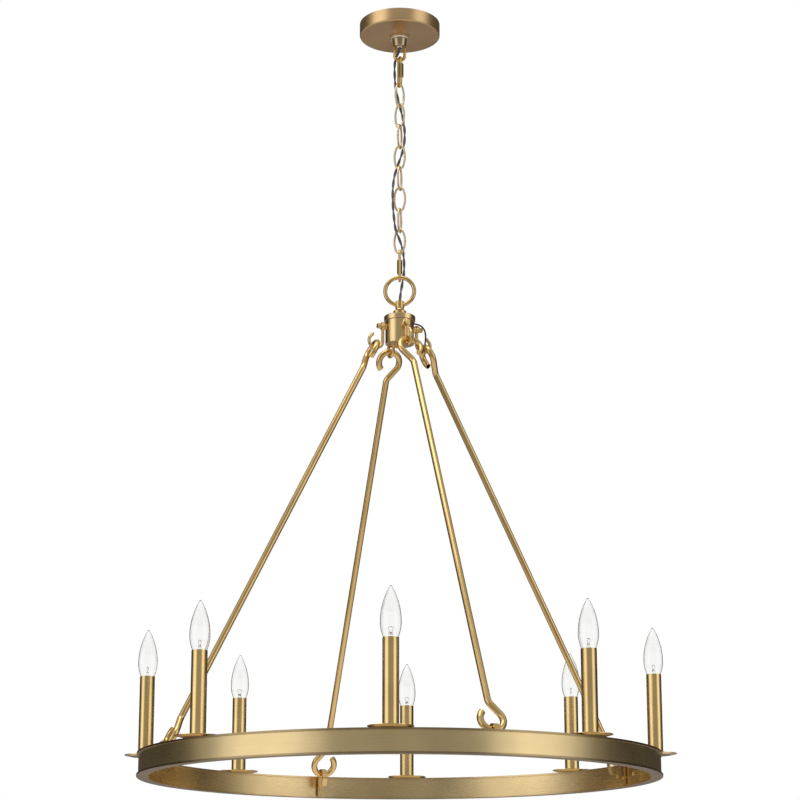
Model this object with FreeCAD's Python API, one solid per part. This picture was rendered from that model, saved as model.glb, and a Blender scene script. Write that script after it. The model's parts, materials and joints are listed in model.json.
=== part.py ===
import FreeCAD, Part
import math
import os

# A wagon wheel chandelier: eight candle lamps on a wide metal ring, hung by four S-ended rods from a
# small round hub, which hangs by chain from a ceiling canopy. Millimetres, +Z up. The origin is on the
# ceiling plane, at the centre of the mounting strap's two slots, and everything hangs below it.
# Candles stand at 0, 45, 90 ... degrees and the four rods at 22.5, 112.5, 202.5 and 292.5 degrees.

os.makedirs("parts", exist_ok=True)
V = FreeCAD.Vector
UP = V(0, 0, 1)

# ---- driving dimensions -------------------------------------------------------------------------
# clearances
GAP = 0.3             # between pieces that move against each other
SLIP = 0.15           # an eye on its stud, where both are held still
SNUG = 0.05           # between fixed pieces that seat in one another

# ceiling fixings
STRAP_LENGTH = 108.0
STRAP_WIDTH = 20.0
STRAP_THICK = 2.5
BOX_SCREW_SPACING = 88.9
SLOT_LENGTH = 12.0
SLOT_WIDTH = 4.8
NIPPLE_RADIUS = 5.0
NIPPLE_BORE = 3.4
NIPPLE_LENGTH = 24.0
NUT_FLATS = 14.0
NUT_HEIGHT = 3.2
GROUND_SCREW_X = 26.0
GROUND_SCREW_RADIUS = 2.0

# canopy and its screw collar
CANOPY_RADIUS = 63.5
CANOPY_HEIGHT = 20.5
CANOPY_SHEET = 1.2
CANOPY_EDGE = 2.0
COLLAR_RADIUS = 14.9
COLLAR_HEIGHT = 5.2

# canopy loop: threaded body, cone and bail
LOOP_BODY_RADIUS = 12.1
LOOP_BODY_TOP = -10.0
LOOP_BODY_BOTTOM = -26.2
LOOP_CONE_BOTTOM = -38.0
LOOP_CONE_RADIUS = 9.8
BAIL_WIRE = 5.0
BAIL_HALF_WIDTH = 7.7
BAIL_BOTTOM = -63.5   # lowest point of the bail's wire

# quick links (a screwed barrel nut closes each)
QUICK_WIRE = 4.0
QUICK_LENGTH = 52.5
QUICK_HALF_WIDTH = 6.5
QUICK_NUT_FLATS = 7.0
QUICK_NUT_LENGTH = 23.0
QUICK_THREAD_GAP = 7.0
QUICK_UPPER_TURN = 110.0
QUICK_LOWER_TURN = 93.0

# oval chain links: direction of each link's plane about the vertical, in degrees
LINK_TURNS = (43.0, -37.0, 73.0, -20.0, 73.0, -12.0, 76.0, -16.0)
LINK_WIRE = 3.2
LINK_LENGTH = 41.5
LINK_WIDTH = 20.6
LINK_END_RADIUS = 6.0  # of the wire's centreline at the two ends

# hub loop: round eye, ferrule and flared neck, cast in one
EYE_RADIUS = 22.4
EYE_WIRE = 6.2
FERRULE_RADIUS = 6.85
FERRULE_ABOVE = 6.2    # ferrule above and below the eye wire's lowest centre
FERRULE_BELOW = 5.4
NECK_WAIST = 6.1
NECK_RADIUS = 10.0
NECK_FLARE = 5.0
NECK_HEIGHT = 13.0
CORD_BORE = 3.4

# hub
LID_RADIUS = 24.1
LID_HEIGHT = 8.0
HUB_SHEET = 1.5
HUB_RADIUS = 22.0
HUB_HEIGHT = 44.5
BASE_THICK = 2.0
TIE_REACH = 7.5        # tie bolt's reach into the loop's neck
TIE_HEAD = 4.0

# studs and J-hooks at the hub
STUD_DROP = 18.5       # below the lid's top
STUD_HEAD_RADIUS = 4.0
STUD_NECK_RADIUS = 3.0
STUD_COLLAR_RADIUS = 5.2
STUD_COLLAR = 3.3
STUD_HEAD = 6.2
STUD_RIVET = 1.7       # its riveted end inside the hub
HOOK_WIRE = 5.0
HOOK_EYE_RADIUS = 6.3
HOOK_CURL = 11.1       # centreline radius of the curl
HOOK_TROUGH = 35.2     # stud centre down to the centreline of the curl's lowest point
HOOK_TIP_BEND = 40.0
HOOK_TIP_RUN = 6.0

# rods
ROD_DIAMETER = 9.5
ROD_WALL = 1.2
ROD_LOOP = 16.5        # centreline radius of the open end loops
ROD_LEAN = 36.0        # how far the shank turns aside before its loop, degrees
ROD_BEND = 14.0
ROD_TIP = 45.0         # where the loop's free end stops, degrees past its side
ROD_AZIMUTHS = (292.5, 22.5, 112.5, 202.5)
ROD_NAMES = ("rod_front_right", "rod_back_right", "rod_back_left", "rod_front_left")
WIRED_ROD = 1

# wheel
RING_RADIUS = 375.0    # middle of the ring's section, and of the candles
RING_TOP = -1159.0
RING_HEIGHT = 33.5
RING_WIDTH = 17.5
FLANGE_THICK = 2.6
BAND_THICK = 1.2
LIP = 2.6

# hangers inside the ring
HANGER_WIDTH = 8.0
HANGER_THICK = 3.0
HANGER_CURL = 12.0
HANGER_CROWN = 9.3     # centreline of the curl's top above the ring's top
HANGER_GAP = 0.75      # over the rod's loop, so that the wheel can sway
HANGER_FOOT = 0.6
HANGER_TIP_BEND = 25.0
HANGER_TIP_CURVE = 8.0
HANGER_TIP_RUN = 11.0
HANGER_SCREW_DROP = 20.0

# wiring cover inside the ring
COVER_THICK = 1.0
COVER_ANGLE = 9.7      # each way from the wired rod's hanger, degrees
COVER_SCREW_ANGLE = 4.2
SCREW_HEAD_RADIUS = 2.6
SCREW_HEAD = 1.6
SCREW_RADIUS = 1.5

# candles
CANDLE_COUNT = 8
PAN_RADIUS = 30.8
PAN_FLOOR_RADIUS = 23.0
PAN_SHEET = 0.8
PAN_RISE = 2.6
SLEEVE_RADIUS = 11.1
SLEEVE_WALL = 0.8
SLEEVE_LENGTH = 117.7
STEM_RADIUS = 4.8
STEM_BORE = 3.2
SOCKET_RADIUS = 8.8
SOCKET_WALL = 2.4
SOCKET_LENGTH = 42.0
SOCKET_DROP = 5.8      # socket mouth below the sleeve's top
STEM_IN_SOCKET = 6.0
STEM_NUT_FLATS = 14.0
STEM_NUT_HEIGHT = 3.2

# bulbs
BULB_RADIUS = 14.3
BULB_HEIGHT = 70.0     # tip above the sleeve's top
BULB_WIDEST = 20.5     # widest point above the sleeve's top
BULB_NECK = 8.2
BULB_NECK_DEPTH = 3.4  # neck's end below the sleeve's top
BULB_TIP = 1.6
BULB_GLASS = 0.8
BASE_RADIUS = 5.9
BASE_LENGTH = 17.0
BASE_COLLAR = 2.0
BASE_CONTACT = 1.5

# cords
CORD_DIAMETER = 4.4
LEAD_DIAMETER = 2.6

# ---- heights and radii that follow --------------------------------------------------------------
BAIL_SEAT = BAIL_BOTTOM + BAIL_WIRE
QUICK_UPPER_TOP = BAIL_SEAT + GAP + QUICK_WIRE
LINK_PITCH = LINK_LENGTH - 2 * LINK_WIRE - GAP
QUICK_UPPER_SEAT = QUICK_UPPER_TOP - QUICK_LENGTH + QUICK_WIRE
LINK_TOPS = [QUICK_UPPER_SEAT + GAP + LINK_WIRE - k * LINK_PITCH for k in range(len(LINK_TURNS))]
LAST_LINK_SEAT = LINK_TOPS[-1] - LINK_LENGTH + LINK_WIRE
QUICK_LOWER_TOP = LAST_LINK_SEAT + GAP + QUICK_WIRE
QUICK_LOWER_SEAT = QUICK_LOWER_TOP - QUICK_LENGTH + QUICK_WIRE
EYE_CENTRE = QUICK_LOWER_SEAT + GAP + EYE_WIRE / 2 - EYE_RADIUS
EYE_BOTTOM = EYE_CENTRE - EYE_RADIUS
FERRULE_TOP = EYE_BOTTOM + FERRULE_ABOVE
FERRULE_BOTTOM = EYE_BOTTOM - FERRULE_BELOW
HUB_TOP = FERRULE_BOTTOM - NECK_HEIGHT
HUB_BOTTOM = HUB_TOP - HUB_HEIGHT
STUD_Z = HUB_TOP - STUD_DROP
HOOK_RADIUS = HUB_RADIUS + STUD_COLLAR + HOOK_WIRE / 2
TROUGH_RADIUS = HOOK_RADIUS + HOOK_CURL
TROUGH_Z = STUD_Z - HOOK_TROUGH
ROD_TOP_Z = TROUGH_Z + HOOK_WIRE / 2 + GAP + ROD_DIAMETER / 2
FLANGE_INNER = RING_RADIUS - RING_WIDTH / 2
FLANGE_OUTER = RING_RADIUS + RING_WIDTH / 2
RING_BOTTOM = RING_TOP - RING_HEIGHT
INNER_BAND = FLANGE_INNER + LIP
OUTER_BAND = FLANGE_OUTER - LIP
HANGER_RADIUS = FLANGE_INNER - SNUG - HANGER_THICK / 2
HANGER_MIDDLE = HANGER_RADIUS - HANGER_CURL
HANGER_CROWN_Z = RING_TOP + HANGER_CROWN
# a round loop under a flat strap meets its edges first, so it hangs this much lower
LOOP_ROUND = ROD_LOOP - math.sqrt(ROD_LOOP ** 2 - (HANGER_WIDTH / 2) ** 2)
ROD_BOTTOM_Z = HANGER_CROWN_Z - HANGER_THICK / 2 - HANGER_GAP - LOOP_ROUND - ROD_DIAMETER / 2
PAN_TOP = RING_TOP + PAN_SHEET
SLEEVE_TOP = PAN_TOP + SLEEVE_LENGTH
SOCKET_TOP = SLEEVE_TOP - SOCKET_DROP
SOCKET_BOTTOM = SOCKET_TOP - SOCKET_LENGTH
BASE_TOP = SLEEVE_TOP - BULB_NECK_DEPTH - SNUG
BASE_BOTTOM = BASE_TOP - BASE_LENGTH

# route of the lamp cord, threaded down the chain: it leaves the canopy loop behind the bail, passes
# left of the upper quick link, behind links 1 and 2, right of link 3, behind link 4, left of links
# 5 to 7, forward through link 8, right of the lower quick link and down through the eye
CORD_POINTS = (
    (0.0, 0.0, -28.5), (0.1, 0.5, -39.0), (-3.2, 4.4, -48.5), (-8.0, 5.8, -60.0),
    (-8.3, 3.4, -78.0), (-7.6, 3.8, -97.0), (-5.2, 6.4, -114.0), (-1.2, 7.4, -131.0),
    (2.8, 6.2, -148.0), (6.4, 5.0, -165.0), (8.0, 2.6, -182.0), (7.4, 3.2, -200.0),
    (3.6, 6.0, -216.0), (-2.0, 7.4, -231.0), (-6.8, 5.4, -246.0), (-9.6, 1.2, -262.0),
    (-10.8, -3.0, -279.0), (-10.9, -4.0, -297.0), (-9.8, -3.4, -315.0), (-8.2, -3.8, -331.0),
    (-6.6, -4.8, -345.0), (-1.6, -2.8, -357.5), (2.6, 1.8, -368.0), (5.6, 4.6, -381.0),
    (6.8, 3.2, -397.0), (6.8, 4.2, -412.0), (4.6, 6.4, -425.0), (2.4, 4.6, -439.0),
    (0.6, 1.4, -453.0), (0.0, 0.0, -468.0), (-0.2, 0.1, -482.0),
)
# route of the feed lead, in the wired rod's own radial plane: radius, aside, height from the stud
LEAD_POINTS = (
    (18.4, -6.2, 7.2), (26.0, -6.2, 7.2), (33.2, -6.9, 4.6), (38.3, -7.4, -1.2),
    (40.0, -7.5, -9.5), (39.8, -7.1, -18.0), (38.9, -6.6, -25.0), (38.9, -6.6, -31.8),
)
LEAD_GAP = 0.5         # between the lead and the holes it passes through


# ---- helpers ------------------------------------------------------------------------------------
def cylinder(radius, z_low, z_high, x=0.0, y=0.0):
    return Part.makeCylinder(radius, z_high - z_low, V(x, y, z_low), UP)


def tube(outer, inner, z_low, z_high, x=0.0, y=0.0):
    return cylinder(outer, z_low, z_high, x, y).cut(cylinder(inner, z_low, z_high, x, y))


def cone(r_low, r_high, z_low, z_high):
    return Part.makeCone(r_low, r_high, z_high - z_low, V(0, 0, z_low), UP)


def hexagon(flats, z_low, z_high, x=0.0, y=0.0):
    corner = flats / math.sqrt(3.0)
    turns = [math.radians(60 * k) for k in range(7)]
    points = [V(x + corner * math.cos(t), y + corner * math.sin(t), z_low) for t in turns]
    return Part.Face(Part.makePolygon(points)).extrude(V(0, 0, z_high - z_low))


def nut(flats, bore, z_low, z_high, x=0.0, y=0.0):
    return hexagon(flats, z_low, z_high, x, y).cut(cylinder(bore, z_low, z_high, x, y))


def direction(azimuth):
    turn = math.radians(azimuth)
    return V(math.cos(turn), math.sin(turn), 0)


def turned(shape, azimuth):
    copy = shape.copy()
    copy.rotate(V(0, 0, 0), UP, azimuth)
    return copy


def joined(solids):
    whole = solids[0].multiFuse(solids[1:]) if len(solids) > 1 else solids[0]
    whole = whole.removeSplitter()
    if len(whole.Solids) != 1:
        raise ValueError("pieces that should be one solid make %d" % len(whole.Solids))
    return whole.Solids[0]


def group(solids):
    return Part.makeCompound(solids)


def revolved(points):
    """Closed outline of (radius, height) points and three-point arcs, turned about the Z axis."""
    edges = []
    here = points[0]
    for step in list(points[1:]) + [points[0]]:
        if len(step) == 4:
            middle, end = step[:2], step[2:]
            arc = Part.Arc(V(here[0], 0, here[1]), V(middle[0], 0, middle[1]), V(end[0], 0, end[1]))
            edges.append(arc.toShape())
        else:
            end = step
            edges.append(Part.LineSegment(V(here[0], 0, here[1]), V(end[0], 0, end[1])).toShape())
        here = end
    return Part.Face(Part.Wire(edges)).revolve(V(0, 0, 0), UP, 360)


def round_section(radius, bore=0.0):
    """A bar's or tube's section, as a face square to the direction of travel."""
    def face(place, along, side):
        outer = Part.Face(Part.Wire(Part.makeCircle(radius, place, along)))
        if bore == 0.0:
            return outer
        return outer.cut(Part.Face(Part.Wire(Part.makeCircle(bore, place, along)))).Faces[0]
    return face


def flat_section(width, thick):
    """A flat strap's section: its width lies across the plane that the strap is bent in."""
    def face(place, along, side):
        across = along.cross(side)
        half = side * (width / 2)
        rise = across * (thick / 2)
        corners = [place + half + rise, place - half + rise, place - half - rise, place + half - rise]
        return Part.Face(Part.makePolygon(corners + corners[:1]))
    return face


def bent(section, start, u, v, heading, moves):
    """A bar bent in the plane of u and v: runs (length,) and bends (radius, degrees, + is left)."""
    normal = u.cross(v)
    place = V(start)
    solids = []
    for move in moves:
        turn = math.radians(heading)
        along = u * math.cos(turn) + v * math.sin(turn)
        face = section(place, along, normal)
        if len(move) == 1:
            solids.append(face.extrude(along * move[0]))
            place = place + along * move[0]
        else:
            radius, degrees = move
            left = normal.cross(along) * (1 if degrees > 0 else -1)
            centre = place + left * radius
            # long bends are made in two halves
            parts = 2 if abs(degrees) > 170 else 1
            spin = FreeCAD.Rotation(normal, degrees / parts)
            for part in range(parts):
                solids.append(face.revolve(centre, normal, degrees / parts))
                place = centre + spin.multVec(place - centre)
                face = section(place, spin.multVec(along), normal)
                along = spin.multVec(along)
            heading += degrees
    return joined(solids)


def along_route(points, diameter, label):
    """A cord's solid: straight runs joined by tangent arcs, each as large as its two runs allow."""
    corners = [V(*p) for p in points]
    solids = []
    length = 0.0
    radii = []
    here = corners[0]
    section = round_section(diameter / 2)
    for before, corner, after in zip(corners, corners[1:], corners[2:]):
        come = (corner - before).normalize()
        leave = (after - corner).normalize()
        turn = math.acos(max(-1.0, min(1.0, come.dot(leave))))
        shorter = min((corner - before).Length, (after - corner).Length)
        reach = 0.45 * shorter
        radius = reach / math.tan(turn / 2)
        radii.append(radius)
        entry = corner - come * reach
        axis = come.cross(leave).normalize()
        solids.append(section(here, come, axis).extrude(entry - here))
        length += (entry - here).Length
        centre = entry + axis.cross(come) * radius
        solids.append(section(entry, come, axis).revolve(centre, axis, math.degrees(turn)))
        length += radius * turn
        here = corner + leave * reach
    last = corners[-1] - here
    solids.append(section(here, V(last).normalize(), UP).extrude(last))
    length += last.Length
    whole = joined(solids)
    expected = math.pi * (diameter / 2) ** 2 * length
    print("%s: %.1f mm long, volume over section x length %.4f, least radius %.1f, radii %s"
          % (label, length, whole.Volume / expected, min(radii), [round(r) for r in radii]))
    return whole


NODES = {}


def keep(name, shape):
    if not shape.isValid():
        raise ValueError(name + " is not a valid shape")
    NODES[name] = shape


# ---- ceiling fixings ----------------------------------------------------------------------------
def mounting_strap():
    half = STRAP_LENGTH / 2 - STRAP_WIDTH / 2
    body = Part.makeBox(2 * half, STRAP_WIDTH, STRAP_THICK, V(-half, -STRAP_WIDTH / 2, -STRAP_THICK))
    ends = [cylinder(STRAP_WIDTH / 2, -STRAP_THICK, 0, x) for x in (-half, half)]
    strap = joined([body] + ends)
    flat = (SLOT_LENGTH - SLOT_WIDTH) / 2
    for x in (-BOX_SCREW_SPACING / 2, BOX_SCREW_SPACING / 2):
        corner = V(x - flat, -SLOT_WIDTH / 2, -STRAP_THICK)
        strap = strap.cut(Part.makeBox(2 * flat, SLOT_WIDTH, STRAP_THICK, corner))
        for end in (x - flat, x + flat):
            strap = strap.cut(cylinder(SLOT_WIDTH / 2, -STRAP_THICK, 0, end))
    strap = strap.cut(cylinder(NIPPLE_RADIUS + SNUG, -STRAP_THICK, 0))
    return strap.cut(cylinder(GROUND_SCREW_RADIUS + SNUG, -STRAP_THICK, 0, GROUND_SCREW_X))


def ground_screw():
    shank = cylinder(GROUND_SCREW_RADIUS, -STRAP_THICK - 1.0, -0.4, GROUND_SCREW_X)
    head = hexagon(8.0, -STRAP_THICK - 3.6, -STRAP_THICK, GROUND_SCREW_X)
    slot = Part.makeBox(10.0, 1.0, 1.0, V(GROUND_SCREW_X - 5.0, -0.5, -STRAP_THICK - 3.6))
    return joined([shank, head]).cut(slot)


def canopy():
    wall = CANOPY_SHEET
    low = -CANOPY_HEIGHT
    bend = CANOPY_EDGE * (1 - math.sqrt(0.5))
    inner = CANOPY_EDGE - wall
    fold = inner * (1 - math.sqrt(0.5))
    hole = LOOP_BODY_RADIUS + GAP
    return revolved([
        (hole, low), (CANOPY_RADIUS - CANOPY_EDGE, low),
        (CANOPY_RADIUS - bend, low + bend, CANOPY_RADIUS, low + CANOPY_EDGE),
        (CANOPY_RADIUS, 0.0), (CANOPY_RADIUS - wall, 0.0), (CANOPY_RADIUS - wall, low + CANOPY_EDGE),
        (CANOPY_RADIUS - wall - fold, low + wall + fold, CANOPY_RADIUS - CANOPY_EDGE, low + wall),
        (hole, low + wall),
    ])


def screw_collar():
    top = -CANOPY_HEIGHT - 0.1
    low = top - COLLAR_HEIGHT
    inner = LOOP_BODY_RADIUS + GAP
    bevel = 1.0
    return revolved([
        (inner, low), (COLLAR_RADIUS - bevel, low), (COLLAR_RADIUS, low + bevel),
        (COLLAR_RADIUS, top - bevel / 2), (COLLAR_RADIUS - bevel / 2, top), (inner, top),
    ])


def canopy_loop():
    body = cylinder(LOOP_BODY_RADIUS, LOOP_BODY_BOTTOM, LOOP_BODY_TOP)
    taper = cone(LOOP_CONE_RADIUS, LOOP_BODY_RADIUS, LOOP_CONE_BOTTOM, LOOP_BODY_BOTTOM)
    leg = LOOP_CONE_BOTTOM + 2.0 - (BAIL_BOTTOM + BAIL_WIRE / 2 + BAIL_HALF_WIDTH)
    bail = bent(round_section(BAIL_WIRE / 2), V(-BAIL_HALF_WIDTH, 0, LOOP_CONE_BOTTOM + 2.0),
                V(1, 0, 0), UP, -90, [(leg,), (BAIL_HALF_WIDTH, 180), (leg,)])
    whole = joined([body, taper, bail])
    whole = whole.cut(cylinder(NIPPLE_RADIUS + SNUG, -NIPPLE_LENGTH - 1.0, LOOP_BODY_TOP))
    return whole.cut(cylinder(NIPPLE_BORE, LOOP_CONE_BOTTOM - 1.0, LOOP_BODY_TOP))


# ---- chain --------------------------------------------------------------------------------------
def quick_link(top, turn):
    """Straight-sided link whose threaded side is open behind its barrel nut."""
    side = direction(turn)
    straight = QUICK_LENGTH - QUICK_WIRE - 2 * QUICK_HALF_WIDTH
    middle = top - QUICK_LENGTH / 2
    stub = (straight - QUICK_THREAD_GAP) / 2
    start = side * QUICK_HALF_WIDTH + V(0, 0, middle + QUICK_THREAD_GAP / 2)
    return bent(round_section(QUICK_WIRE / 2), start, side, UP, 90,
                [(stub,), (QUICK_HALF_WIDTH, 180), (straight,), (QUICK_HALF_WIDTH, 180), (stub,)])


def quick_link_nut(top, turn):
    """Six-sided barrel nut on the link's threaded side, with chamfered ends."""
    middle = top - QUICK_LENGTH / 2
    low = middle - QUICK_NUT_LENGTH / 2
    high = middle + QUICK_NUT_LENGTH / 2
    at = direction(turn) * QUICK_HALF_WIDTH
    corner = QUICK_NUT_FLATS / math.sqrt(3.0)
    ends = revolved([
        (0.0, low), (QUICK_NUT_FLATS / 2 - 0.2, low), (corner, low + 1.0),
        (corner, high - 1.0), (QUICK_NUT_FLATS / 2 - 0.2, high), (0.0, high),
    ])
    body = hexagon(QUICK_NUT_FLATS, low, high).common(ends)
    body = body.cut(cylinder(QUICK_WIRE / 2 + GAP, low, high))
    body.translate(at)
    return body.Solids[0]


def chain_link(top, turn):
    """Oval of four arcs: two small end arcs and two long side arcs, tangent to one another."""
    side = direction(turn)
    long_half = (LINK_LENGTH - LINK_WIRE) / 2
    short_half = (LINK_WIDTH - LINK_WIRE) / 2
    end = LINK_END_RADIUS
    rise = long_half - end
    flank = (short_half ** 2 + rise ** 2 - end ** 2) / (2 * (short_half - end))
    sweep = math.degrees(math.asin(rise / (flank - end)))
    start = side * short_half + V(0, 0, top - LINK_LENGTH / 2)
    return bent(round_section(LINK_WIRE / 2), start, side, UP, 90,
                [(flank, sweep), (end, 180 - 2 * sweep), (flank, 2 * sweep),
                 (end, 180 - 2 * sweep), (flank, sweep)])


# ---- hub ----------------------------------------------------------------------------------------
def hub_loop():
    wrap = math.degrees(math.asin((FERRULE_RADIUS - 1.5) / EYE_RADIUS))
    foot = math.radians(-90 + wrap)
    start = V(EYE_RADIUS * math.cos(foot), 0, EYE_CENTRE + EYE_RADIUS * math.sin(foot))
    eye = bent(round_section(EYE_WIRE / 2), start, V(1, 0, 0), UP, wrap,
               [(EYE_RADIUS, 360 - 2 * wrap)])
    bevel = 1.0
    flare_z = FERRULE_BOTTOM - NECK_FLARE
    ferrule = revolved([
        (0.0, HUB_TOP), (NECK_RADIUS, HUB_TOP), (NECK_RADIUS, flare_z),
        ((NECK_WAIST + NECK_RADIUS) / 2 - 0.6, (flare_z + FERRULE_BOTTOM) / 2 - 0.6,
         NECK_WAIST, FERRULE_BOTTOM - 0.8),
        (NECK_WAIST, FERRULE_BOTTOM), (FERRULE_RADIUS - 0.4, FERRULE_BOTTOM),
        (FERRULE_RADIUS, FERRULE_BOTTOM + 0.4), (FERRULE_RADIUS, FERRULE_TOP - bevel),
        (FERRULE_RADIUS - bevel, FERRULE_TOP), (0.0, FERRULE_TOP),
    ])
    whole = joined([eye, ferrule])
    whole = whole.cut(cylinder(CORD_BORE, HUB_TOP, FERRULE_TOP))
    return whole.cut(cylinder(NIPPLE_RADIUS + SNUG, HUB_TOP, HUB_TOP + 8.0))


def hub_lid():
    low = HUB_TOP - LID_HEIGHT
    bevel = 1.2
    return revolved([
        (HUB_RADIUS + SNUG, low), (LID_RADIUS, low), (LID_RADIUS, HUB_TOP - bevel),
        (LID_RADIUS - bevel, HUB_TOP), (NIPPLE_RADIUS + SNUG, HUB_TOP),
        (NIPPLE_RADIUS + SNUG, HUB_TOP - HUB_SHEET), (HUB_RADIUS + SNUG, HUB_TOP - HUB_SHEET),
    ])


def radial_pin(outline, azimuth, z):
    """Outline of (radius, distance from the hub's axis) points, laid along a rod's azimuth."""
    shape = revolved(outline)
    shape.rotate(V(0, 0, 0), V(0, 1, 0), 90)
    shape.translate(V(0, 0, z))
    return turned(shape, azimuth)


def lead_hole():
    """Round cutter through the hub's side where the feed lead leaves."""
    r, side, z = LEAD_POINTS[0]
    hole = Part.makeCylinder(LEAD_DIAMETER / 2 + LEAD_GAP, 12.0, V(r, side, STUD_Z + z), V(1, 0, 0))
    return turned(hole, ROD_AZIMUTHS[WIRED_ROD])


def hub_tie_bolt():
    """Hollow bolt under the lid, screwed up into the loop's neck; the lamp cord passes through it."""
    seat = HUB_TOP - HUB_SHEET
    head = hexagon(NUT_FLATS, seat - TIE_HEAD, seat)
    whole = joined([head, cylinder(NIPPLE_RADIUS, seat - 1.0, HUB_TOP + TIE_REACH)])
    return whole.cut(cylinder(NIPPLE_BORE, seat - TIE_HEAD, HUB_TOP + TIE_REACH))


def hub_shell():
    shell = tube(HUB_RADIUS, HUB_RADIUS - HUB_SHEET, HUB_BOTTOM, HUB_TOP - HUB_SHEET - SNUG)
    shell = shell.cut(cylinder(HUB_RADIUS - 0.6, HUB_BOTTOM, HUB_BOTTOM + BASE_THICK))
    for azimuth in ROD_AZIMUTHS:
        hole = [(0.0, 0.0), (STUD_NECK_RADIUS + SNUG, 0.0), (STUD_NECK_RADIUS + SNUG, 30.0), (0.0, 30.0)]
        shell = shell.cut(radial_pin(hole, azimuth, STUD_Z))
    return shell.cut(lead_hole())


def hub_base_plate():
    return cylinder(HUB_RADIUS - 0.6 - SNUG, HUB_BOTTOM, HUB_BOTTOM + BASE_THICK)


def hub_stud(azimuth):
    neck = HUB_RADIUS + STUD_COLLAR
    head = neck + HOOK_WIRE + 2 * SLIP
    end = head + STUD_HEAD
    inside = math.sqrt((HUB_RADIUS - HUB_SHEET) ** 2 - STUD_HEAD_RADIUS ** 2) - 0.1
    return radial_pin([
        (0.0, inside - STUD_RIVET), (STUD_HEAD_RADIUS - 0.8, inside - STUD_RIVET),
        (STUD_HEAD_RADIUS, inside - STUD_RIVET + 0.8), (STUD_HEAD_RADIUS, inside),
        (STUD_NECK_RADIUS, inside),
        (STUD_NECK_RADIUS, HUB_RADIUS + 0.2), (STUD_COLLAR_RADIUS, HUB_RADIUS + 0.2),
        (STUD_COLLAR_RADIUS, neck), (STUD_NECK_RADIUS, neck), (STUD_NECK_RADIUS, head),
        (STUD_HEAD_RADIUS, head), (STUD_HEAD_RADIUS, end - 0.5), (STUD_HEAD_RADIUS - 0.5, end),
        (0.0, end),
    ], azimuth, STUD_Z)


def hub_hook(azimuth):
    """J-hook: an eye on the stud, a shank down the hub's side and a curl that opens upwards."""
    out = direction(azimuth)
    drop = HOOK_TROUGH - HOOK_CURL
    start = out * HOOK_RADIUS + V(0, 0, STUD_Z - STUD_NECK_RADIUS - 1.0)
    shank = bent(round_section(HOOK_WIRE / 2), start, out, UP, -90,
                 [(drop - STUD_NECK_RADIUS - 1.0,), (HOOK_CURL, 180), (HOOK_CURL, HOOK_TIP_BEND),
                  (HOOK_TIP_RUN,)])
    inner = HUB_RADIUS + STUD_COLLAR + SLIP
    outer = inner + HOOK_WIRE
    eye = radial_pin([
        (0.0, inner), (HOOK_EYE_RADIUS - 0.8, inner), (HOOK_EYE_RADIUS, inner + 0.8),
        (HOOK_EYE_RADIUS, outer - 0.8), (HOOK_EYE_RADIUS - 0.8, outer), (0.0, outer),
    ], azimuth, STUD_Z)
    bore = radial_pin([(0.0, 0.0), (STUD_NECK_RADIUS + SLIP, 0.0), (STUD_NECK_RADIUS + SLIP, 60.0),
                       (0.0, 60.0)], azimuth, STUD_Z)
    return joined([shank, eye]).cut(bore).Solids[0]


# ---- rods ---------------------------------------------------------------------------------------
def rod(azimuth, wired):
    """Straight shank with an open loop at each end, bent in the plane square to the radius."""
    out = direction(azimuth)
    aside = UP.cross(out)
    top = out * TROUGH_RADIUS + V(0, 0, ROD_TOP_Z)
    bottom = out * HANGER_MIDDLE + V(0, 0, ROD_BOTTOM_Z)
    up_rod = (top - bottom).normalize()
    lean = math.radians(ROD_LEAN)
    diagonal = (ROD_LOOP * math.cos(lean) - ROD_BEND * (1 - math.cos(lean))) / math.sin(lean)
    reach = (ROD_LOOP + ROD_BEND) * math.sin(lean) + diagonal * math.cos(lean)
    straight = (top - bottom).Length - 2 * ROD_LOOP - 2 * reach
    tip = math.radians(-ROD_TIP)
    centre = top - up_rod * ROD_LOOP
    start = centre + aside * (ROD_LOOP * math.cos(tip)) + up_rod * (ROD_LOOP * math.sin(tip))
    wrap = 180 + ROD_LEAN + ROD_TIP
    bore = ROD_DIAMETER / 2 - ROD_WALL if wired else 0.0
    shape = bent(round_section(ROD_DIAMETER / 2, bore), start, aside, up_rod, 90 - ROD_TIP,
                 [(ROD_LOOP, wrap), (diagonal,), (ROD_BEND, -ROD_LEAN), (straight,),
                  (ROD_BEND, ROD_LEAN), (diagonal,), (ROD_LOOP, -wrap)])
    if wired:
        r, side, z = LEAD_POINTS[-1]
        at = out * r + aside * side + V(0, 0, STUD_Z + z)
        shape = shape.cut(Part.makeCylinder(LEAD_DIAMETER / 2 + LEAD_GAP, 12.0, at, UP)).Solids[0]
    return shape


def feed_lead():
    out = direction(ROD_AZIMUTHS[WIRED_ROD])
    aside = UP.cross(out)
    places = [out * r + aside * side + V(0, 0, STUD_Z + z) for r, side, z in LEAD_POINTS]
    return along_route([(p.x, p.y, p.z) for p in places], LEAD_DIAMETER, "feed lead")


# ---- wheel --------------------------------------------------------------------------------------
def flange(z_low):
    return tube(FLANGE_OUTER, FLANGE_INNER, z_low, z_low + FLANGE_THICK)


def top_flange():
    plate = flange(RING_TOP - FLANGE_THICK)
    for k in range(CANDLE_COUNT):
        at = direction(360.0 / CANDLE_COUNT * k) * RING_RADIUS
        hole = cylinder(STEM_RADIUS + SNUG, RING_TOP - FLANGE_THICK, RING_TOP, at.x, at.y)
        plate = plate.cut(hole)
    return plate


def wall_hole(azimuth, radius, z):
    """Round cutter through the ring's inner wall."""
    out = direction(azimuth)
    return Part.makeCylinder(radius, 14.0, out * (INNER_BAND - 8.0) + V(0, 0, z), out)


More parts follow.
